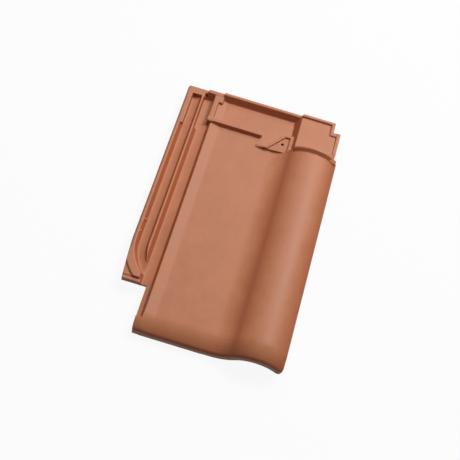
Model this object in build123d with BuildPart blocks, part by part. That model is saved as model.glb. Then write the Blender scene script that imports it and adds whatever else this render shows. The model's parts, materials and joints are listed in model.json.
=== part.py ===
"""Interlocking pressed clay roof tile, one fired piece.

The left edge carries two side-lap channels, the middle is a flat pan, and the right edge is a roll
whose outer half covers the side lap of the next tile. The head has the weather bars, the nail boss and
the upstand that the tile above lies over. The foot turns down into a nose.

Places across the tile are measured from its left edge, places along it from its foot, and heights from
the top face of the pan. The origin is under the middle of the tile, on the surface that it lies on.
"""
import os
from math import asin, degrees, sqrt

from build123d import *

# Body
tile_length = 466.0
body_thickness = 12.0
pan_width = 94.5
pan_edge_width = 18.0
pan_edge_rise = 3.2
pan_crease_round = 30.0
edge_round = 1.5
overrun = 5.0

# Roll
roll_run = 70.0
roll_rise = 27.0
valley_radius = 50.0
shoulder_radius = 62.0
flap_width = 45.0
flap_edge_depth = 7.2
flap_edge_round = 6.0
flap_rib_width = 6.0
flap_rib_inset = 26.0
flap_rib_foot_gap = 82.0
flap_rib_head_gap = 92.0
flap_rib_root = 4.0

# Nose at the foot
nose_length = 31.0
nose_drop = 12.0
lip_length = 4.0
lip_drop = 4.5
foot_rib_depth = 9.0
foot_rib_inset = 12.0
foot_rib_height = 8.0
right_foot_round = 7.0
left_foot_round = 10.0

# Side lap, from the outer rib to the flank of the pan
lap_height = 2.2
channel_depth = 9.0
outer_draft_run = 2.5
outer_draft_depth = 6.0
outer_rib_width = 6.8
outer_rib_flank = 5.8
outer_channel_width = 13.4
mid_rib_rise_run = 2.3
mid_rib_width = 3.2
mid_rib_flank = 6.0
inner_channel_width = 16.0
pan_flank = 4.0
ledge_width = 7.0
outer_rib_round = 1.8
mid_rib_round = 4.0
rib_round = 1.0
rib_flare = 2.5
rib_flare_rise = 0.4
floor_rise = 2.8
outer_floor_lift = 0.5
notch_length = 75.0
corner_block_length = 20.0
steep_flank = 1.5
steep_length = 81.0
lap_head_width = 14.0

# Curved drain at the foot end of the side lap
drain_start = 147.0
drain_radius = 75.0
drain_angle = 55.0
lap_taper = 5.5
ledge_radius = 87.0
ledge_outset = 6.0
ledge_angle = 55.0
ledge_run = 2.5
ledge_drop = 2.6
ledge_reach = 40.0
end_strip_length = 7.0
end_strip_drop = 4.0

# Weather bar, strip and upstands at the head
bar_head_gap = 66.0
bar_depth = 13.0
bar_height = 7.0
bar_length = 98.5
bar_end_round = 5.0
bar_run = 3.0
strip_overlap = 3.0
strip_width = 9.5
strip_height = 6.5
plateau_width = 16.5
plateau_length = 21.0
upstand_inset = 15.5
upstand_height = 11.0
upstand_top = 5.5
upstand_run = 7.0
low_upstand_height = 7.0
low_upstand_top = 7.0
low_upstand_run = 8.0

# Head end of the roll: a flat block behind an arched weather bar
block_length = 84.5
block_overlap = 7.0
block_crown_run = 32.0
block_head_flank = 11.0
block_foot_flank = 7.0
block_setback = 6.0
block_foot_height = 17.5
block_head_height = 14.0
block_edge_height = 14.0
arch_run = 6.0
arch_rise = 5.0
arch_top = 4.5
arch_sink = 1.5
arch_bevel = 1.0
arch_inset = 13.0
head_corner_width = 18.5
head_corner_length = 21.0
head_rim_width = 6.0
head_rim_step = 8.0
head_rim_height = 17.5
head_rim_depth = 9.0
side_rim_head = 18.5
side_rim_top = 18.2
side_rim_foot = 13.0
side_rim_run = 21.0
head_wall = 8.0
head_hollow_run = 44.0
head_hollow_depth = 4.0
hollow_valley_radius = 12.0

# Nail boss
boss_head_gap = 84.0
boss_depth = 33.0
boss_width = 38.0
boss_apex_width = 12.0
boss_bar_length = 18.0
boss_tip_run = 16.0
boss_flank_overlap = 3.0
boss_rim_width = 5.0
boss_rim_height = 6.0
boss_pocket_depth = 3.0
boss_end_height = 10.0
nail_radius = 2.5
nail_inset = 13.0
nail_head_gap = 68.0

# Hanging nibs under the head
nib_width = 36.0
nib_length = 22.0
nib_tip_length = 14.0
nib_head_gap = 9.0
nib_inset = 4.0
nib_spacing = 96.0
nib_round = 3.0

# Places across the side lap
channel_1_left = outer_rib_width + outer_rib_flank
channel_1_right = channel_1_left + outer_channel_width
mid_rib_left = channel_1_right + mid_rib_rise_run
mid_rib_right = mid_rib_left + mid_rib_width
channel_2_left = mid_rib_right + mid_rib_flank
channel_2_right = channel_2_left + inner_channel_width
pan_edge = channel_2_right + pan_flank
lap_width = channel_2_right - ledge_width
channel_floor = lap_height - channel_depth
outer_floor = channel_floor + outer_floor_lift
drain_right = channel_2_left + outer_rib_flank

# Places across the pan and the roll
pan_left = pan_edge + pan_edge_width
roll_start = pan_left + pan_width
crest_place = roll_start + roll_run
tile_width = crest_place + flap_width
crown_radius = (roll_run**2 + roll_rise**2) / (2 * roll_rise) - valley_radius
roll_slope = degrees(asin(roll_run / (valley_radius + crown_radius)))
shoulder_angle = degrees(asin(flap_width / shoulder_radius))
flap_edge_top = roll_rise - shoulder_radius + sqrt(shoulder_radius**2 - flap_width**2)
flap_edge_height = flap_edge_top - flap_edge_depth
flap_reach = sqrt(
    (shoulder_radius - body_thickness) ** 2 - (flap_edge_height + shoulder_radius - roll_rise) ** 2
)

# Places at the head
block_foot = tile_length - block_length
body_head = block_foot + block_overlap
block_left = crest_place - block_crown_run
block_head_left = block_left - block_head_flank
block_foot_left = block_left - block_foot_flank
block_edge = tile_width - block_setback
arch_right = tile_width - arch_inset
arch_middle = (block_left + arch_right) / 2
arch_foot_edge = block_foot + arch_run
arch_back = arch_foot_edge + arch_top
hollow_drop = body_thickness + head_hollow_depth
corner_left = tile_width - head_corner_width
corner_foot = tile_length - head_corner_length
strip_left = channel_2_right - strip_overlap
upstand_left = strip_left + upstand_inset
bar_front = tile_length - bar_head_gap
boss_right = block_head_left + boss_flank_overlap
boss_turn = boss_right - boss_width
boss_apex_left = boss_right - boss_apex_width
boss_foot = tile_length - boss_head_gap
boss_line = boss_foot + boss_rim_width / 2
boss_apex = boss_foot + boss_depth

# Heights
pan_level = body_thickness + nose_drop
underside = -body_thickness
rest = -body_thickness - nose_drop
root = -body_thickness / 2
ledge_height = lap_height - ledge_drop


def across(place):
    """X of a place measured from the left edge."""
    return place - tile_width / 2


def along(place):
    """Y of a place measured from the foot."""
    return place - tile_length / 2


def level(height):
    """Z of a height measured from the top face of the pan."""
    return height + pan_level


def spot(place, height):
    """Point of a cross section: place from the left edge, height from the pan."""
    return across(place), level(height)


def cross_plane(place):
    """Plane of a cross section at a place along the tile. It faces the foot."""
    return Plane.XZ.offset(-along(place))


def soften(section, point, radius):
    """Round the corner of a section that lies at a point."""
    fillet(section.vertices().sort_by_distance(point)[0], radius)


def cross_face(points, place):
    """Cross section through the tile, facing the foot."""
    with BuildSketch(cross_plane(place)) as section:
        with BuildLine():
            Polyline(*[spot(*point) for point in points], close=True)
        make_face()
    return section.sketch


def cross_prism(points, head, foot, mode=Mode.ADD):
    """Prism along the tile, from its head end to its foot end."""
    extrude(cross_face(points, head), amount=head - foot, mode=mode)


def side_face(points, place, round_top=0, round_bottom=0):
    """Section along the tile. Each point is a place along the tile and a height."""
    with BuildSketch(Plane.YZ.offset(across(place))) as section:
        with BuildLine():
            Polyline(*[(along(y), level(height)) for y, height in points], close=True)
        make_face()
        if round_top:
            fillet(section.vertices().group_by(Axis.Y)[-1], round_top)
        if round_bottom:
            fillet(section.vertices().group_by(Axis.Y)[0], round_bottom)
    return section.sketch


def side_prism(points, left, right, round_top=0, round_bottom=0):
    """Prism across the tile, from its left end to its right end."""
    extrude(side_face(points, left, round_top, round_bottom), amount=right - left)


def plan_face(points, height, round_right=0):
    """Outline in plan. Each point is a place across the tile and a place along it."""
    with BuildSketch(Plane.XY.offset(level(height))) as outline:
        with BuildLine():
            Polyline(*[(across(x), along(y)) for x, y in points], close=True)
        make_face()
        if round_right:
            fillet(outline.vertices().group_by(Axis.X)[-1], round_right)
    return outline.sketch


def plan_prism(points, bottom, top, mode=Mode.ADD, round_top=0):
    """Upright prism, with its upper edges rounded where it stands proud."""
    prism = extrude(plan_face(points, bottom), amount=top - bottom, mode=Mode.PRIVATE)
    if round_top:
        prism = prism.fillet(round_top, prism.faces().sort_by(Axis.Z)[-1].edges())
    add(prism, mode=mode)


def rectangle(left, right, foot, head):
    """Corner points of a rectangle in plan."""
    return [(left, foot), (right, foot), (right, head), (left, head)]


def roll_underside(start, run, rise, valley, reach, edge_height):
    """Underside of a roll: valley, crown and shoulder arcs down to its right edge."""
    crown = (run**2 + rise**2) / (2 * rise) - valley
    slope = degrees(asin(run / (valley + crown)))
    drop = rise - body_thickness - edge_height
    shoulder = (reach**2 + drop**2) / (2 * drop)
    crest = start + run
    CenterArc(spot(start, valley), valley + body_thickness, -90, slope)
    CenterArc(spot(crest, rise - crown), crown - body_thickness, 90 + slope, -slope)
    CenterArc(
        spot(crest, rise - body_thickness - shoulder),
        shoulder,
        90,
        -degrees(asin(reach / shoulder)),
    )


def roll_height(place):
    """Height of the roll's top face at a place across its crown or shoulder."""
    radius = crown_radius if place < crest_place else shoulder_radius
    return roll_rise - radius + sqrt(radius**2 - (place - crest_place) ** 2)


def block_section(place, flank_foot, height):
    """Outline of the flat block at the head end of the roll, at a place along the tile."""
    return cross_face(
        [
            (flank_foot, underside),
            (flank_foot, 0),
            (block_left, height),
            (arch_right, height),
            (block_edge, block_edge_height),
            (block_edge, flap_edge_height),
        ],
        place,
    )


def arch_section(place, rise):
    """Outline of the weather bar that arches over the roll, at a place along the tile."""
    with BuildSketch(cross_plane(place)) as section:
        with BuildLine():
            left = spot(block_left, roll_height(block_left) + rise)
            right = spot(arch_right, roll_height(arch_right) + rise)
            Polyline(spot(block_foot_left, underside), spot(block_foot_left, 0), left)
            ThreePointArc(left, spot(arch_middle, roll_height(arch_middle) + rise), right)
            Polyline(
                right,
                spot(block_edge, roll_height(block_edge) - arch_sink),
                spot(block_edge, flap_edge_height),
                spot(block_foot_left, underside),
            )
        make_face()
    return section.sketch


def hollow_section(place, rise, edge, edge_height):
    """Outline of the hollow under the roll's head end, out to the wall at its right edge."""
    start = crest_place - head_hollow_run
    reach = edge - head_wall - crest_place
    with BuildSketch(cross_plane(place)) as section:
        with BuildLine():
            roll_underside(start, head_hollow_run, rise, hollow_valley_radius, reach, edge_height)
            Polyline(
                spot(crest_place + reach, edge_height),
                spot(crest_place + reach, underside - overrun),
                spot(start, underside - overrun),
                spot(start, underside),
            )
        make_face()
    return section.sketch


def trench(place, floor, left_top, left_floor, left_round, right_floor, right_top, right_height):
    """Section of a side-lap channel: a hollow floor that rises to the right, between rounded ribs."""
    left_rib = spot(left_top, lap_height)
    right_rib = spot(right_top, right_height)
    floor_left = spot(left_floor, floor)
    floor_right = spot(right_floor, floor + floor_rise)
    with BuildSketch(cross_plane(place)) as section:
        with BuildLine():
            TangentArc(floor_left, floor_right, tangent=(1, 0))
            Polyline(
                floor_right,
                right_rib,
                spot(right_top + rib_flare, right_height + rib_flare_rise),
                spot(right_top + rib_flare, right_height + overrun),
                spot(left_top - rib_flare, right_height + overrun),
                spot(left_top - rib_flare, lap_height + rib_flare_rise),
                left_rib,
                floor_left,
            )
        make_face()
        soften(section, left_rib, left_round)
        soften(section, right_rib, rib_round)
    return section.sketch


def corner_cut(place, inward, radius):
    """Round a foot corner in plan. Inward is 1 at the left corner and -1 at the right corner."""
    centre_place = place + inward * radius
    with BuildSketch(Plane.XY) as corner:
        with BuildLine():
            side = (across(place), along(radius))
            front = (across(centre_place), along(0))
            RadiusArc(side, front, -inward * radius)
            Polyline(
                front,
                (across(centre_place), along(-overrun)),
                (across(place - inward * overrun), along(-overrun)),
                (across(place - inward * overrun), along(radius)),
                side,
            )
        make_face()
    extrude(corner.sketch, amount=level(roll_rise), mode=Mode.SUBTRACT)


with BuildPart() as roof_tile:
    # Pan and roll in one section, carried along the tile and down the nose without turning
    with BuildLine(Plane.YZ) as nose_path:
        nose_start = (along(nose_length), level(0))
        lip_start = (along(lip_length), level(lip_drop - nose_drop))
        straight = Line((along(body_head), level(0)), nose_start)
        nose_curve = TangentArc(nose_start, lip_start, tangent=straight % 1)
        TangentArc(lip_start, (along(0), level(-nose_drop)), tangent=nose_curve % 1)
    with BuildSketch(cross_plane(body_head)) as body:
        flap_corner = spot(tile_width, flap_edge_top)
        with BuildLine():
            Polyline(
                spot(roll_start, underside),
                spot(lap_width, underside),
                spot(lap_width, pan_edge_rise),
                spot(pan_edge, pan_edge_rise),
                spot(pan_left, 0),
                spot(roll_start, 0),
            )
            CenterArc(spot(roll_start, valley_radius), valley_radius, -90, roll_slope)
            crown_centre = spot(crest_place, roll_rise - crown_radius)
            CenterArc(crown_centre, crown_radius, 90 + roll_slope, -roll_slope)
            shoulder_centre = spot(crest_place, roll_rise - shoulder_radius)
            CenterArc(shoulder_centre, shoulder_radius, 90, -shoulder_angle)
            Polyline(
                flap_corner,
                spot(tile_width, flap_edge_height),
                spot(crest_place + flap_reach, flap_edge_height),
            )
            roll_underside(roll_start, roll_run, roll_rise, valley_radius, flap_reach, flap_edge_height)
        make_face()
        soften(body, flap_corner, flap_edge_round)
        soften(body, spot(tile_width, flap_edge_height), edge_round)
        soften(body, spot(pan_left, 0), pan_crease_round)
    sweep(path=nose_path.line, normal=(0, -1, 0))

    # Foot corners in plan
    corner_cut(tile_width, -1, right_foot_round)
    corner_cut(lap_width, 1, left_foot_round)

    # Head part of the pan
    cross_prism(
        [
            (lap_width, underside),
            (lap_width, pan_edge_rise),
            (pan_edge, pan_edge_rise),
            (pan_left, 0),
            (block_left, 0),
            (block_left, underside),
        ],
        tile_length,
        body_head,
    )

    # Head end of the roll: the flat block, the bar that arches over the roll, and the hollow under both
    loft(
        [
            block_section(body_head, block_foot_left, block_foot_height),
            block_section(tile_length, block_head_left, block_head_height),
        ],
        ruled=True,
    )
    arch_steps = [
        (block_foot, -arch_sink),
        (arch_foot_edge, arch_rise - arch_bevel),
        (arch_foot_edge + arch_bevel, arch_rise),
        (arch_back, arch_rise),
    ]
    loft([arch_section(place, rise) for place, rise in arch_steps], ruled=True)
    hollow_steps = [
        (block_foot, roll_rise, block_edge, flap_edge_height),
        (arch_back, block_foot_height, block_edge, block_foot_height - hollow_drop),
        (tile_length + overrun, block_head_height, corner_left, block_head_height - hollow_drop),
    ]
    loft([hollow_section(*step) for step in hollow_steps], ruled=True, mode=Mode.SUBTRACT)

    # Rim along the head and its stepped corner, and the side rim that fades out towards the roll
    plan_prism(
        [
            (block_left, tile_length),
            (corner_left, tile_length),
            (corner_left, corner_foot),
            (block_edge, corner_foot),
            (block_edge, corner_foot - head_rim_step),
            (corner_left - head_rim_width, corner_foot - head_rim_step),
            (corner_left - head_rim_width, tile_length - head_rim_width),
            (block_left, tile_length - head_rim_width),
        ],
        head_rim_height - head_rim_depth,
        head_rim_height,
        round_top=edge_round,
    )
    side_prism(
        [
            (corner_foot, head_rim_height - head_rim_depth),
            (corner_foot, side_rim_head),
            (block_foot + side_rim_run, side_rim_top),
            (block_foot, side_rim_foot),
            (block_foot, head_rim_height - head_rim_depth),
        ],
        block_edge - head_rim_width,
        block_edge,
    )
    plan_prism(
        rectangle(corner_left, tile_width + overrun, corner_foot, tile_length + overrun),
        underside - overrun,
        roll_rise + overrun,
        mode=Mode.SUBTRACT,
    )

    # Side lap as a block with a rounded outer edge, before its channels are pressed in
    with BuildSketch(cross_plane(tile_length)) as lap_block:
        with BuildLine():
            Polyline(
                spot(0, underside),
                spot(0, lap_height - outer_draft_depth),
                spot(outer_draft_run, lap_height),
                spot(pan_edge, lap_height),
                spot(pan_edge, underside),
                close=True,
            )
        make_face()
        soften(lap_block, spot(outer_draft_run, lap_height), outer_rib_round)
        soften(lap_block, spot(0, underside), edge_round)
    extrude(lap_block.sketch, amount=tile_length - notch_length)
    plan_prism(
        [
            (-overrun, drain_start),
            (0, drain_start),
            (lap_taper, notch_length),
            (lap_taper, notch_length - overrun),
            (-overrun, notch_length - overrun),
        ],
        underside - overrun,
        lap_height + overrun,
        mode=Mode.SUBTRACT,
    )

    # Outer channel: steep flanks at the head, then a wide run that curves into the inner channel
    lap_head = tile_length - lap_head_width
    steep_foot = tile_length - steep_length
    outer_right = (channel_1_right, mid_rib_left, lap_height)
    steep_left = (channel_1_left - steep_flank, channel_1_left, rib_round)
    steep_trench = trench(lap_head, outer_floor, *steep_left, *outer_right)
    extrude(steep_trench, amount=lap_head - steep_foot, mode=Mode.SUBTRACT)
    wide_left = (outer_rib_width, channel_1_left, outer_rib_round)
    wide_trench = trench(steep_foot, outer_floor, *wide_left, *outer_right)
    with BuildLine(Plane.XY.offset(level(0))) as drain_path:
        drain_bend = (across(channel_1_left), along(drain_start))
        Line((across(channel_1_left), along(steep_foot)), drain_bend)
        JernArc(drain_bend, (0, -1), drain_radius, drain_angle)
    drain = sweep(wide_trench, path=drain_path.line, normal=(0, -1, 0), mode=Mode.PRIVATE)
    drain_reach = rectangle(-overrun, drain_right, notch_length, tile_length)
    drain_room = extrude(plan_face(drain_reach, underside), amount=body_thickness * 2, mode=Mode.PRIVATE)
    add(drain & drain_room, mode=Mode.SUBTRACT)

    # Inner channel: it runs on past the notch, to the block at the foot corner
    inner_head = tile_length - low_upstand_top
    inner_right = (channel_2_right, pan_edge, pan_edge_rise)
    wide_inner_left = (mid_rib_right, channel_2_left, mid_rib_round)
    inner_trench = trench(inner_head, channel_floor, *wide_inner_left, *inner_right)
    extrude(inner_trench, amount=inner_head - corner_block_length, mode=Mode.SUBTRACT)
    steep_inner_left = (mid_rib_right, mid_rib_right + steep_flank, rib_round)
    steep_inner = trench(lap_head, channel_floor, *steep_inner_left, *inner_right)
    extrude(steep_inner, amount=lap_head - steep_foot, mode=Mode.SUBTRACT)

    # Back of the curved rib, the ledge behind it and the end strip
    ledge_back = cross_face(
        [
            (-ledge_outset - ledge_run, ledge_height),
            (-ledge_outset, lap_height),
            (-ledge_outset, lap_height + overrun),
            (-ledge_outset - ledge_reach, lap_height + overrun),
            (-ledge_outset - ledge_reach, ledge_height),
        ],
        drain_start,
    )
    ledge_axis = Axis((across(ledge_radius - ledge_outset), along(drain_start), 0), (0, 0, 1))
    revolve(ledge_back, axis=ledge_axis, revolution_arc=ledge_angle, mode=Mode.SUBTRACT)
    plan_prism(
        rectangle(-overrun, drain_right, notch_length - overrun, notch_length + end_strip_length),
        lap_height - end_strip_drop,
        lap_height + overrun,
        mode=Mode.SUBTRACT,
    )

    # Strip and plateau beside the head recess, and the weather bar that runs on from the strip
    strip_foot = bar_front + edge_round
    plan_prism(
        [
            (strip_left, strip_foot),
            (strip_left + strip_width, strip_foot),
            (strip_left + strip_width, tile_length - plateau_length),
            (strip_left + plateau_width, tile_length - plateau_length),
            (strip_left + plateau_width, tile_length),
            (strip_left, tile_length),
        ],
        root,
        strip_height,
        round_top=edge_round,
    )
    bar_section = side_face(
        [
            (bar_front, 0),
            (bar_front + bar_run, bar_height),
            (bar_front + bar_depth - bar_run, bar_height),
            (bar_front + bar_depth, 0),
            (bar_front + bar_depth, root),
            (bar_front, root),
        ],
        strip_left,
        round_top=edge_round,
    )
    bar_outline = plan_face(
        rectangle(strip_left, strip_left + bar_length, bar_front, bar_front + bar_depth),
        root,
        round_right=bar_end_round,
    )
    bar = extrude(bar_section, amount=bar_length, mode=Mode.PRIVATE)
    bar_end = extrude(bar_outline, amount=bar_height - root, mode=Mode.PRIVATE)
    add(bar & bar_end)

    # Upstands along the head
    side_prism(
        [
            (tile_length - upstand_top - upstand_run, root),
            (tile_length - upstand_top - upstand_run, 0),
            (tile_length - upstand_top, upstand_height),
            (tile_length, upstand_height),
            (tile_length, root),
        ],
        upstand_left,
        block_left,
        round_top=edge_round,
    )
    side_prism(
        [
            (tile_length - low_upstand_top - low_upstand_run, underside),
            (tile_length - low_upstand_top - low_upstand_run, channel_floor),
            (tile_length - low_upstand_top, low_upstand_height),
            (tile_length, low_upstand_height),
            (tile_length, underside),
        ],
        channel_2_left,
        upstand_left,
        round_top=edge_round,
    )

    # Nail boss: a weather bar that turns round the nail hole and climbs to the roll, round an open pocket
    boss_tip = boss_turn - boss_bar_length
    boss_end = boss_right + boss_rim_width / 2
    with BuildSketch(Plane.XY.offset(level(0))) as boss_rim:
        with BuildLine():
            Polyline(
                (across(boss_tip), along(boss_line)),
                (across(boss_turn), along(boss_line)),
                (across(boss_apex_left), along(boss_apex)),
                (across(boss_right), along(boss_apex)),
                (across(boss_right), along(boss_line)),
            )
        trace(line_width=boss_rim_width)
    boss_top = cross_face(
        [
            (boss_tip - boss_rim_width, 0),
            (boss_tip + boss_tip_run, boss_rim_height),
            (boss_end, boss_end_height),
            (boss_end + overrun, boss_end_height),
            (boss_end + overrun, boss_end_height + overrun),
            (boss_tip - boss_rim_width, boss_end_height + overrun),
        ],
        boss_apex + boss_rim_width,
    )
    boss_lid = extrude(boss_top, amount=boss_depth + boss_rim_width + overrun, mode=Mode.PRIVATE)
    rim = extrude(boss_rim.sketch, amount=boss_end_height, mode=Mode.PRIVATE)
    add(rim - boss_lid)
    pocket_outline = plan_face(
        [
            (boss_turn, boss_foot),
            (boss_right, boss_foot),
            (boss_right, boss_apex),
            (boss_apex_left, boss_apex),
        ],
        root,
    )
    pocket_floor = extrude(pocket_outline, amount=boss_end_height - root, mode=Mode.PRIVATE)
    add(pocket_floor - Pos(Z=-boss_pocket_depth) * boss_lid)
    nail_place = (across(boss_right - nail_inset), along(tile_length - nail_head_gap))
    with Locations((*nail_place, level(0))):
        Hole(radius=nail_radius)

    # Underside: foot rib, rib of the cover flap and the two hanging nibs
    side_prism(
        [
            (0, rest),
            (foot_rib_depth, rest),
            (foot_rib_depth, rest + foot_rib_height),
            (0, rest + foot_rib_height),
        ],
        lap_width + foot_rib_inset,
        roll_start - foot_rib_inset,
    )
    flap_rib_left = tile_width - flap_rib_inset - flap_rib_width
    plan_prism(
        rectangle(
            flap_rib_left,
            flap_rib_left + flap_rib_width,
            flap_rib_foot_gap,
            tile_length - flap_rib_head_gap,
        ),
        flap_edge_height,
        roll_height(flap_rib_left) - body_thickness + flap_rib_root,
    )
    nib_foot = tile_length - nib_head_gap - nib_length
    nib_left = pan_edge + nib_inset
    for nib_side in (nib_left, nib_left + nib_spacing):
        side_prism(
            [
                (nib_foot, root),
                (nib_foot, rest),
                (nib_foot + nib_tip_length, rest),
                (nib_foot + nib_length, underside),
                (nib_foot + nib_length, root),
            ],
            nib_side,
            nib_side + nib_width,
            round_bottom=nib_round,
        )

roof_tile.part.label = "roof_tile"
os.makedirs("parts", exist_ok=True)
export_step(roof_tile.part, "parts/roof_tile.step")
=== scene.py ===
# %% [markdown]
# # An interlocking clay roof tile
# The tile is one piece of clay, pressed between two moulds, dried and fired. Its sizes come from the packed
# CAD part, which is loaded here as a fixed frame. Blender adds what the CAD model leaves out: the soft edges
# that pressing and drying give, two small forms of the mould, the marks of the press, and the fired clay,
# whose colour also holds painted sheen, painted shade and painted edge highlights.

# %% Load the CAD frame
import json
from math import radians

import bmesh
import bpy
from mathutils import Matrix, Vector
from mathutils.bvhtree import BVHTree

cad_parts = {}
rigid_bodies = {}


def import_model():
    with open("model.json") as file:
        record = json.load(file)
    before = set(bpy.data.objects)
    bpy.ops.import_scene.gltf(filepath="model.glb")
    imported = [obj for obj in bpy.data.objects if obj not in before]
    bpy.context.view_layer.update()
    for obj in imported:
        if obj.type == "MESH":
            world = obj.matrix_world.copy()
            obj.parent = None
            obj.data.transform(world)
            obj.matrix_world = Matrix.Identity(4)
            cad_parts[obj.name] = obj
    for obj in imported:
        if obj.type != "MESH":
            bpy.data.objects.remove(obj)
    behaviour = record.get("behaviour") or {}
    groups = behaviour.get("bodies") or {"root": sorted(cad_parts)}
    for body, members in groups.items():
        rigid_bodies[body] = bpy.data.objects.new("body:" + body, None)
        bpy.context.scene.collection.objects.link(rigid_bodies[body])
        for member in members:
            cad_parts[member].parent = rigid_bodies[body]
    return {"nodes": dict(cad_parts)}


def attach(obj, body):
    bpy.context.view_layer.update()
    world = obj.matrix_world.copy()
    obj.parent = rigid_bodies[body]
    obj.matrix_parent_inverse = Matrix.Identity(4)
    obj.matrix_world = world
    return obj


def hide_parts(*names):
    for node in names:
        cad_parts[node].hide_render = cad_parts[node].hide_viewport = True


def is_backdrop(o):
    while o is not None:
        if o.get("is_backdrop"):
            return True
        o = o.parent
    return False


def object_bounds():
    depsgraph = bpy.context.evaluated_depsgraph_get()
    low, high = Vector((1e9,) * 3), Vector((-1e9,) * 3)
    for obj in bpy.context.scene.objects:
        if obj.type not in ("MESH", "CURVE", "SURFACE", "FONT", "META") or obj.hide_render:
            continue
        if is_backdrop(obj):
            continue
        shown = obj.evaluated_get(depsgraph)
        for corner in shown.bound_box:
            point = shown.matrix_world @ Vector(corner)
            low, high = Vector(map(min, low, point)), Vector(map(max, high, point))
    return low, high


MM = 0.001

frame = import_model()
cad_low, cad_high = (Vector(corner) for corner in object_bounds())
scene = bpy.context.scene
scene.view_settings.view_transform = "Standard"
print("CAD box in mm:", [round(side / MM, 1) for side in cad_high - cad_low])

# %% [markdown]
# ## The camera
# The photograph looks down on the tile from beyond its foot, through a lens that is longer than a normal
# one. The place and the turn were found by matching the tile's long edges, its nail hole and the corners of
# its head. A camera that tracks a target would lose the slant of the picture, so the three angles are set
# directly.

# %% Place the camera
SENSOR_WIDTH = 36.0
LENS_LENGTH = 70.97
CAMERA_PLACE = Vector((0.0242, -0.7415, 1.3075))
CAMERA_TURN = (28.387, -7.43, 15.198)

camera_data = bpy.data.cameras.new("photo_camera")
camera_data.sensor_width = SENSOR_WIDTH
camera_data.lens = LENS_LENGTH
camera = bpy.data.objects.new("photo_camera", camera_data)
camera.location = CAMERA_PLACE
camera.rotation_euler = [radians(angle) for angle in CAMERA_TURN]
scene.collection.objects.link(camera)
scene.camera = camera
print("camera is", round(CAMERA_PLACE.length, 2), "m from the tile")

# %% [markdown]
# ## The tile's body
# CAD edges are too crisp for clay: the press squeezes the clay into rounded corners, and drying and firing
# pull them in a little more. A bevel would have to follow hundreds of edges where ribs run into each other.
# A voxel remesh treats the tile as one lump instead, and a light smoothing then rounds every edge by about
# the same amount, as a mould does. The work starts on a copy of the CAD mesh, because the CAD node itself
# stays as it is.

# %% Copy the CAD mesh
MERGE_DISTANCE = 0.001 * MM


def merged_copy(node, name):
    """A copy of a CAD node's mesh, with its loose triangles joined, as a new object."""
    mesh = frame["nodes"][node].data.copy()
    mesh.name = name
    mesh.materials.clear()
    skin = bmesh.new()
    skin.from_mesh(mesh)
    bmesh.ops.remove_doubles(skin, verts=skin.verts, dist=MERGE_DISTANCE)
    skin.to_mesh(mesh)
    skin.free()
    piece = bpy.data.objects.new(name, mesh)
    scene.collection.objects.link(piece)
    return piece


tile = merged_copy("roof_tile", "fired_clay_tile")
print("copied body:", len(tile.data.polygons), "triangles")

# %% [markdown]
# ## A square foot corner
# The mould leaves the left corner of the foot almost square, and the CAD body is rounder there. The corner
# could be cut anew, but pushing its points out from the middle of the round keeps the nose's own curve:
# each point is lowered by as much as the nose falls on its way, which a ray from above measures on the pan
# nearby. A cut across the pan comes first, so that only the corner changes.

# %% Square up the foot corner
CORNER_ROUND = 10 * MM
CORNER_REACH = 30 * MM
SQUARE_SHARE = 0.8
INSIDE = 0.05 * MM
DOWN = Vector((0, 0, -1))


def square_corner(piece):
    """Push the points of the round left foot corner out towards a square one, and count them."""
    skin = bmesh.new()
    skin.from_mesh(piece.data)
    foot = cad_low.y
    left = min(point.co.x for point in skin.verts if point.co.y < foot + CORNER_REACH)
    middle = Vector((left + CORNER_ROUND, foot + CORNER_ROUND))
    everything = [*skin.verts, *skin.edges, *skin.faces]
    bmesh.ops.bisect_plane(skin, geom=everything, plane_co=(*middle, 0), plane_no=(1, 0, 0))
    probe = BVHTree.FromBMesh(skin)

    def pan_height(along):
        """Height of the pan's top beside the corner, at a place along the tile."""
        start = Vector((left + CORNER_REACH, max(along, foot + INSIDE), cad_high.z))
        return probe.ray_cast(start, DOWN)[0].z

    moved = 0
    for point in skin.verts:
        out = middle - point.co.xy
        if min(out) > 0:
            before = pan_height(point.co.y)
            point.co.xy = middle - out * (1 + SQUARE_SHARE * (out.length / max(out) - 1))
            point.co.z += pan_height(point.co.y) - before
            moved += 1
    skin.to_mesh(piece.data)
    skin.free()
    return moved


print("corner points moved:", square_corner(tile))

# %% [markdown]
# ## A lug on the cover flap
# The arched weather bar ends in a small lug on the edge of the cover flap. It could be joined on with a
# boolean, but the remesh that follows melts anything that overlaps into one skin. So a block that is tilted
# like the roll's shoulder, and sunk into it, is enough.

# %% Lug at the end of the arched bar
LUG_TOP = Vector((135.5, 154.3, 40.5)) * MM
LUG_SIZE = Vector((13.0, 8.5, 9.0)) * MM
LUG_TILT = 30

skin = bmesh.new()
skin.from_mesh(tile.data)
seat = Matrix.Translation(LUG_TOP) @ Matrix.Rotation(radians(LUG_TILT), 4, "Y")
sink = Matrix.Translation((0, 0, -LUG_SIZE.z / 2))
bmesh.ops.create_cube(skin, size=1, matrix=seat @ sink @ Matrix.Diagonal((*LUG_SIZE, 1)))
skin.to_mesh(tile.data)
skin.free()
print("lug in mm:", [round(side / MM, 1) for side in LUG_SIZE])

# %% [markdown]
# ## Marks of the press
# Along the outer rib a little clay was squeezed out between the moulds and smeared over the rib's flank.
# The smears are flat lumps, sunk halfway into the rib. They could be sculpted, but at this size squashed
# balls that the remesh melts in look the same.

# %% Smears of clay on the outer rib
SMEARS = [
    # across, along, up, length, turn about the upright axis, dip of its far end
    (-132.6, -48.6, 22.4, 9.5, -10, 55),
    (-135.9, -55.6, 25.6, 6.5, 80, 0),
    (-134.2, -70.8, 24.2, 5.0, 60, 20),
]
SMEAR_WIDTH = 3.0 * MM
SMEAR_HEIGHT = 2.6 * MM

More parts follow.
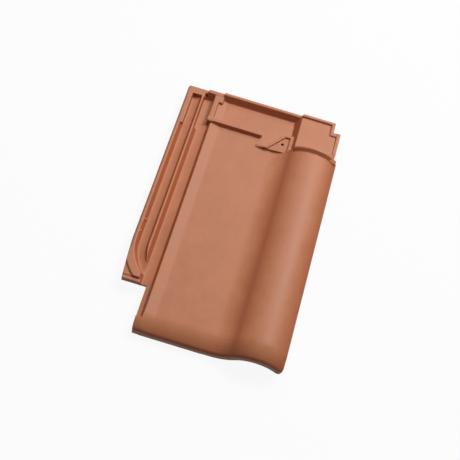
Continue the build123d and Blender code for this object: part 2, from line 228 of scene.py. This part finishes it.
skin = bmesh.new()
skin.from_mesh(tile.data)
for across, along, up, length, turn, dip in SMEARS:
    place = Matrix.Translation(Vector((across, along, up)) * MM)
    aim = Matrix.Rotation(radians(turn), 4, "Z") @ Matrix.Rotation(radians(dip), 4, "Y")
    shape = Matrix.Diagonal((length * MM / 2, SMEAR_WIDTH / 2, SMEAR_HEIGHT / 2, 1))
    bmesh.ops.create_icosphere(skin, subdivisions=2, radius=1, matrix=place @ aim @ shape)
skin.to_mesh(tile.data)
skin.free()
print("smears of clay:", len(SMEARS))

# %% [markdown]
# ## Soft edges
# The voxels are smaller than the rounds on the tile's edges, so every rib and bar keeps its shape. The flat
# faces stay flat, so most of their triangles can be taken out again afterwards, until the tile is light
# enough to use. The modifiers are applied at once, because the next steps read the finished points.

# %% Melt the body together and soften it
VOXEL = 0.7 * MM
SOFTENING = 0.5
SOFTENING_ROUNDS = 3


def apply_modifiers(piece):
    """Turn a piece's modifiers into plain mesh."""
    graph = bpy.context.evaluated_depsgraph_get()
    mesh = bpy.data.meshes.new_from_object(piece.evaluated_get(graph))
    piece.modifiers.clear()
    piece.data = mesh


def triangle_count(mesh):
    """How many triangles a mesh makes."""
    return sum(len(face.vertices) - 2 for face in mesh.polygons)


press = tile.modifiers.new("press", "REMESH")
press.mode = "VOXEL"
press.voxel_size = VOXEL
soften = tile.modifiers.new("soften", "SMOOTH")
soften.factor = SOFTENING
soften.iterations = SOFTENING_ROUNDS
apply_modifiers(tile)
print("pressed body:", triangle_count(tile.data), "triangles")

# %% Thin out the flat faces
KEPT_TRIANGLES = 190_000

thin = tile.modifiers.new("thin", "DECIMATE")
thin.ratio = KEPT_TRIANGLES / triangle_count(tile.data)
apply_modifiers(tile)
tile.data.shade_smooth()
print("kept body:", triangle_count(tile.data), "triangles")

# %% [markdown]
# ## Painted sheen and shade by tilt
# Flat faces get a paler, less saturated colour, which paints the sheen the lamps give them. Steep flanks get
# a richer, darker red, which paints their shade. A shader can work out the tilt of a surface while it
# renders. Stored on the tile's own points as an attribute, this painted sheen can also be counted here, and
# it stays with the mesh.

# %% Store the painted sheen and shade
STEEP_RISE = 0.72
FLAT_RISE = 0.93


def share_between(value, start, full):
    """0 up to a start, 1 from a full value on, and even steps between the two."""
    return min(max((value - start) / (full - start), 0), 1)


def store(mesh, name, values):
    """Keep one number for each point of a mesh, under a name that a material can read."""
    mesh.attributes.new(name, "FLOAT", "POINT").data.foreach_set("value", values)


# Painted sheen: 1 on faces that lie flat, 0 on steep flanks, which get the painted shade colour
painted_sheen = [share_between(point.normal.z, STEEP_RISE, FLAT_RISE) for point in tile.data.vertices]
store(tile.data, "painted_sheen", painted_sheen)
print("bloom covers", round(sum(painted_sheen) / len(painted_sheen), 2), "of the points")

# %% [markdown]
# ## Painted highlights on the edges
# The rounded outer edges catch thin lines of light, and these are painted into the colour as paler clay.
# They could be painted by hand, but there are hundreds of them. Instead each point looks along its mesh
# edges: where the normals spread apart the surface turns outwards, and the sharper it turns, the stronger
# its painted highlight.

# %% Store the painted edge highlights
BEND_START = 0.08 / MM
BEND_FULL = 0.35 / MM
EDGE_HIGHLIGHT_SHARE = 0.55


def bend(point):
    """How sharply a surface turns outwards at a point: one over its radius, for a ball."""
    turn = 0
    for edge in point.link_edges:
        other = edge.other_vert(point)
        step = other.co - point.co
        turn += (other.normal - point.normal).dot(step) / step.length_squared
    return turn / len(point.link_edges)


skin = bmesh.new()
skin.from_mesh(tile.data)
skin.normal_update()
# Painted edge highlight: paler clay where the surface turns sharply outwards
painted_edge_highlight = [EDGE_HIGHLIGHT_SHARE * share_between(bend(point), BEND_START, BEND_FULL) for point in skin.verts]
skin.free()
store(tile.data, "painted_edge_highlight", painted_edge_highlight)
print("rubbed points:", sum(share > EDGE_HIGHLIGHT_SHARE / 2 for share in painted_edge_highlight), "of", len(painted_edge_highlight))

# %% [markdown]
# ## Tools for materials
# Colours are written as sRGB hex values, as a picture shows them, and Blender's nodes take linear ones.
# Nodes could be made, set and linked line by line. One function that does all three keeps each node
# together, so that a material reads from top to bottom.

# %% Helpers for colours and nodes


def linear(hex_colour):
    """Linear colour of an sRGB hex value."""
    channels = [int(hex_colour[place : place + 2], 16) / 255 for place in (1, 3, 5)]
    curve = [c / 12.92 if c <= 0.04045 else ((c + 0.055) / 1.055) ** 2.4 for c in channels]
    return (*curve, 1)


def add(tree, kind, settings=(), inputs=(), links=()):
    """Add a node, set its properties and its inputs, and link other outputs into it."""
    node = tree.nodes.new(kind)
    for name, value in dict(settings).items():
        setattr(node, name, value)
    for name, value in dict(inputs).items():
        node.inputs[name].default_value = value
    for name, output in dict(links).items():
        tree.links.new(output, node.inputs[name])
    return node


def empty_material(name):
    """A material with no nodes but its output."""
    material = bpy.data.materials.new(name)
    material.use_nodes = True
    material.node_tree.nodes.clear()
    return material, material.node_tree, material.node_tree.nodes.new("ShaderNodeOutputMaterial")


# %% [markdown]
# ## Unglazed fired clay
# The clay has no glaze, so its colour is the iron red of the body itself, a little uneven from the firing.
# Its surface is matt, with a faint gloss where the mould pressed it smooth, and a fine grit breaks up the
# light. The mottle and the grit could be painted images. Noise on Object coordinates has no seams and stays
# put on the tile from any side.

# %% Colour of the clay
# Richer, darker red of the steep flanks: painted shade
CLAY_SHADED_FLANK = "#B5633C"
# Pale clay on outward edges: painted highlight
CLAY_EDGE_HIGHLIGHT = "#D6A288"
# Mottle colours for the flat faces: random tone, made paler and less saturated than the flanks as painted
# sheen
CLAY_DARK = "#BD734B"
CLAY_PALE = "#CB815A"
MOTTLE_SIZE = 35 * MM
MOTTLE_RANGE = (0.3, 0.7)

# Pressed and fired clay: soft iron red with a random mottle, plus painted sheen on flat faces, painted shade
# on steep flanks and painted highlights on outward edges
clay, tree, output = empty_material("unglazed_fired_clay")
coords = add(tree, "ShaderNodeTexCoord")
mottle = add(
    tree,
    "ShaderNodeTexNoise",
    inputs={"Scale": 1 / MOTTLE_SIZE, "Detail": 5, "Roughness": 0.6},
    links={"Vector": coords.outputs["Object"]},
)
tone = add(tree, "ShaderNodeValToRGB", links={"Fac": mottle.outputs["Fac"]})
for stop, position, shade in zip(tone.color_ramp.elements, MOTTLE_RANGE, (CLAY_DARK, CLAY_PALE)):
    stop.position = position
    stop.color = linear(shade)
# Painted sheen share: flat faces take the mottle colours, steep flanks take the painted shade colour
painted_sheen_share = add(tree, "ShaderNodeAttribute", settings={"attribute_name": "painted_sheen"})
sheen_painted_colour = add(
    tree,
    "ShaderNodeMix",
    settings={"data_type": "RGBA"},
    inputs={6: linear(CLAY_SHADED_FLANK)},
    links={0: painted_sheen_share.outputs["Fac"], 7: tone.outputs["Color"]},
)
# Painted edge highlight share: outward edges turn paler
edge_highlight_share = add(tree, "ShaderNodeAttribute", settings={"attribute_name": "painted_edge_highlight"})
colour = add(
    tree,
    "ShaderNodeMix",
    settings={"data_type": "RGBA"},
    inputs={7: linear(CLAY_EDGE_HIGHLIGHT)},
    links={0: edge_highlight_share.outputs["Fac"], 6: sheen_painted_colour.outputs[2]},
)
print("clay colours:", CLAY_SHADED_FLANK, CLAY_DARK, CLAY_PALE, CLAY_EDGE_HIGHLIGHT)

# %% Grit and gloss of the clay
ROUGHNESS_RANGE = (0.45, 0.55)
CLAY_IOR = 1.5
CLAY_SPECULAR = 0.42
# Real grit is about a third of this size. It is drawn coarser, so that it shows in the render.
GRIT_SIZE = 0.9 * MM
GRIT_DEPTH = 0.15 * MM
GRIT_STRENGTH = 0.25

rough = add(
    tree,
    "ShaderNodeMapRange",
    inputs={
        "From Min": MOTTLE_RANGE[0],
        "From Max": MOTTLE_RANGE[1],
        "To Min": ROUGHNESS_RANGE[0],
        "To Max": ROUGHNESS_RANGE[1],
    },
    links={"Value": mottle.outputs["Fac"]},
)
grit = add(
    tree,
    "ShaderNodeTexNoise",
    inputs={"Scale": 1 / GRIT_SIZE, "Detail": 3, "Roughness": 0.6},
    links={"Vector": coords.outputs["Object"]},
)
bump = add(
    tree,
    "ShaderNodeBump",
    inputs={"Strength": GRIT_STRENGTH, "Distance": GRIT_DEPTH},
    links={"Height": grit.outputs["Fac"]},
)
shader = add(
    tree,
    "ShaderNodeBsdfPrincipled",
    inputs={"IOR": CLAY_IOR, "Specular IOR Level": CLAY_SPECULAR},
    links={
        "Base Color": colour.outputs[2],
        "Roughness": rough.outputs["Result"],
        "Normal": bump.outputs["Normal"],
    },
)
tree.links.new(shader.outputs["BSDF"], output.inputs["Surface"])
tile.data.materials.append(clay)
print("material:", clay.name, "with", len(tree.nodes), "nodes")

# %% [markdown]
# ## Join the tile to the frame
# The tile was fired in one piece and nothing on it moves. So the piece rides on the only body of the part
# and stands for its only node.

# %% Tie the piece to the CAD body
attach(tile, "root")
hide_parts("roof_tile")
print(tile.name, "stands for the CAD tile")

# %% [markdown]
# ## Floor
# The photograph has a plain white ground with hardly a shadow. Paper that white would throw a lot of light
# up at the tile. So the floor is grey to the rays that light the tile, and white to the camera and to
# reflections. A small share of that white is real matt paper, which keeps the tile's soft shadow.

# %% Lay the floor
FLOOR_SIZE = 6.0
FLOOR_GAP = 0.2 * MM

floor_mesh = bpy.data.meshes.new("studio_floor")
plate = bmesh.new()
bmesh.ops.create_grid(plate, x_segments=1, y_segments=1, size=FLOOR_SIZE / 2)
plate.to_mesh(floor_mesh)
plate.free()
floor = bpy.data.objects.new("studio_floor", floor_mesh)
floor.location.z = cad_low.z - FLOOR_GAP
scene.collection.objects.link(floor)
floor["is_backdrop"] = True
print("floor is", FLOOR_SIZE, "m wide")

# %% Paper for the floor
FLOOR_GREY = "#8C8C8C"
PAPER_WHITE = "#F4F4F4"
WHITE = "#FFFFFF"
SHADOW_SHARE = 0.08


def seen_rays(tree):
    """1 for rays from the camera, from mirrors and through glass, 0 for the rays that light the tile."""
    path = add(tree, "ShaderNodeLightPath")
    mirror = add(
        tree,
        "ShaderNodeMath",
        settings={"operation": "MAXIMUM"},
        links={0: path.outputs["Is Camera Ray"], 1: path.outputs["Is Glossy Ray"]},
    )
    glass = add(
        tree,
        "ShaderNodeMath",
        settings={"operation": "MAXIMUM"},
        links={0: mirror.outputs[0], 1: path.outputs["Is Transmission Ray"]},
    )
    return glass.outputs[0]


# Matt paper: no gloss at all, so it shows nothing but the tile's shadow
paper, tree, output = empty_material("white_paper_floor")
grey = add(tree, "ShaderNodeBsdfDiffuse", inputs={"Color": linear(FLOOR_GREY)})
matt = add(tree, "ShaderNodeBsdfDiffuse", inputs={"Color": linear(PAPER_WHITE)})
white = add(tree, "ShaderNodeEmission", inputs={"Color": linear(WHITE), "Strength": 1})
sheet = add(
    tree,
    "ShaderNodeMixShader",
    inputs={0: SHADOW_SHARE},
    links={1: white.outputs[0], 2: matt.outputs[0]},
)
ground = add(
    tree,
    "ShaderNodeMixShader",
    links={0: seen_rays(tree), 1: grey.outputs[0], 2: sheet.outputs[0]},
)
tree.links.new(ground.outputs[0], output.inputs["Surface"])
floor_mesh.materials.append(paper)
print("material:", paper.name, "with", len(tree.nodes), "nodes")

# %% [markdown]
# ## Studio light
# A large soft box above the head lights the tile along its length, so the nose and the faces that look to
# the foot fall into soft shade. A smaller one on the right gives the pale gloss on the roll's shoulder. A
# sun lamp would draw hard shadows, which the photograph doesn't have. The world adds a little fill, and is
# white only to the camera and to reflections.

# %% White surround
FILL = 0.05

world = bpy.data.worlds.new("studio_world")
world.use_nodes = True
tree = world.node_tree
tree.nodes.clear()
fill = add(tree, "ShaderNodeBackground", inputs={"Color": linear(WHITE), "Strength": FILL})
backdrop = add(tree, "ShaderNodeBackground", inputs={"Color": linear(WHITE), "Strength": 1})
surround = add(
    tree,
    "ShaderNodeMixShader",
    links={0: seen_rays(tree), 1: fill.outputs[0], 2: backdrop.outputs[0]},
)
add(tree, "ShaderNodeOutputWorld", links={"Surface": surround.outputs[0]})
scene.world = world
print("fill light:", FILL)

# %% Soft boxes
LAMP_DISTANCE = 3.2
KEY_FROM = Vector((0.05, 0.8, 1.0))
KEY_SIZE = 2.6
KEY_POWER = 52.0
SIDE_FROM = Vector((0.5, 0.57, 1.0))
SIDE_SIZE = 0.8
SIDE_POWER = 47.0


def soft_box(name, direction, size, power):
    """A square lamp that looks at the tile's middle from a direction."""
    lamp = bpy.data.lights.new(name, "AREA")
    lamp.size = size
    lamp.energy = power
    stand = bpy.data.objects.new(name, lamp)
    stand.location = direction.normalized() * LAMP_DISTANCE
    stand.rotation_euler = (-direction).to_track_quat("-Z", "Y").to_euler()
    scene.collection.objects.link(stand)
    print(name, "is", size, "m wide, with", power, "W")


soft_box("key_soft_box", KEY_FROM, KEY_SIZE, KEY_POWER)
soft_box("side_soft_box", SIDE_FROM, SIDE_SIZE, SIDE_POWER)
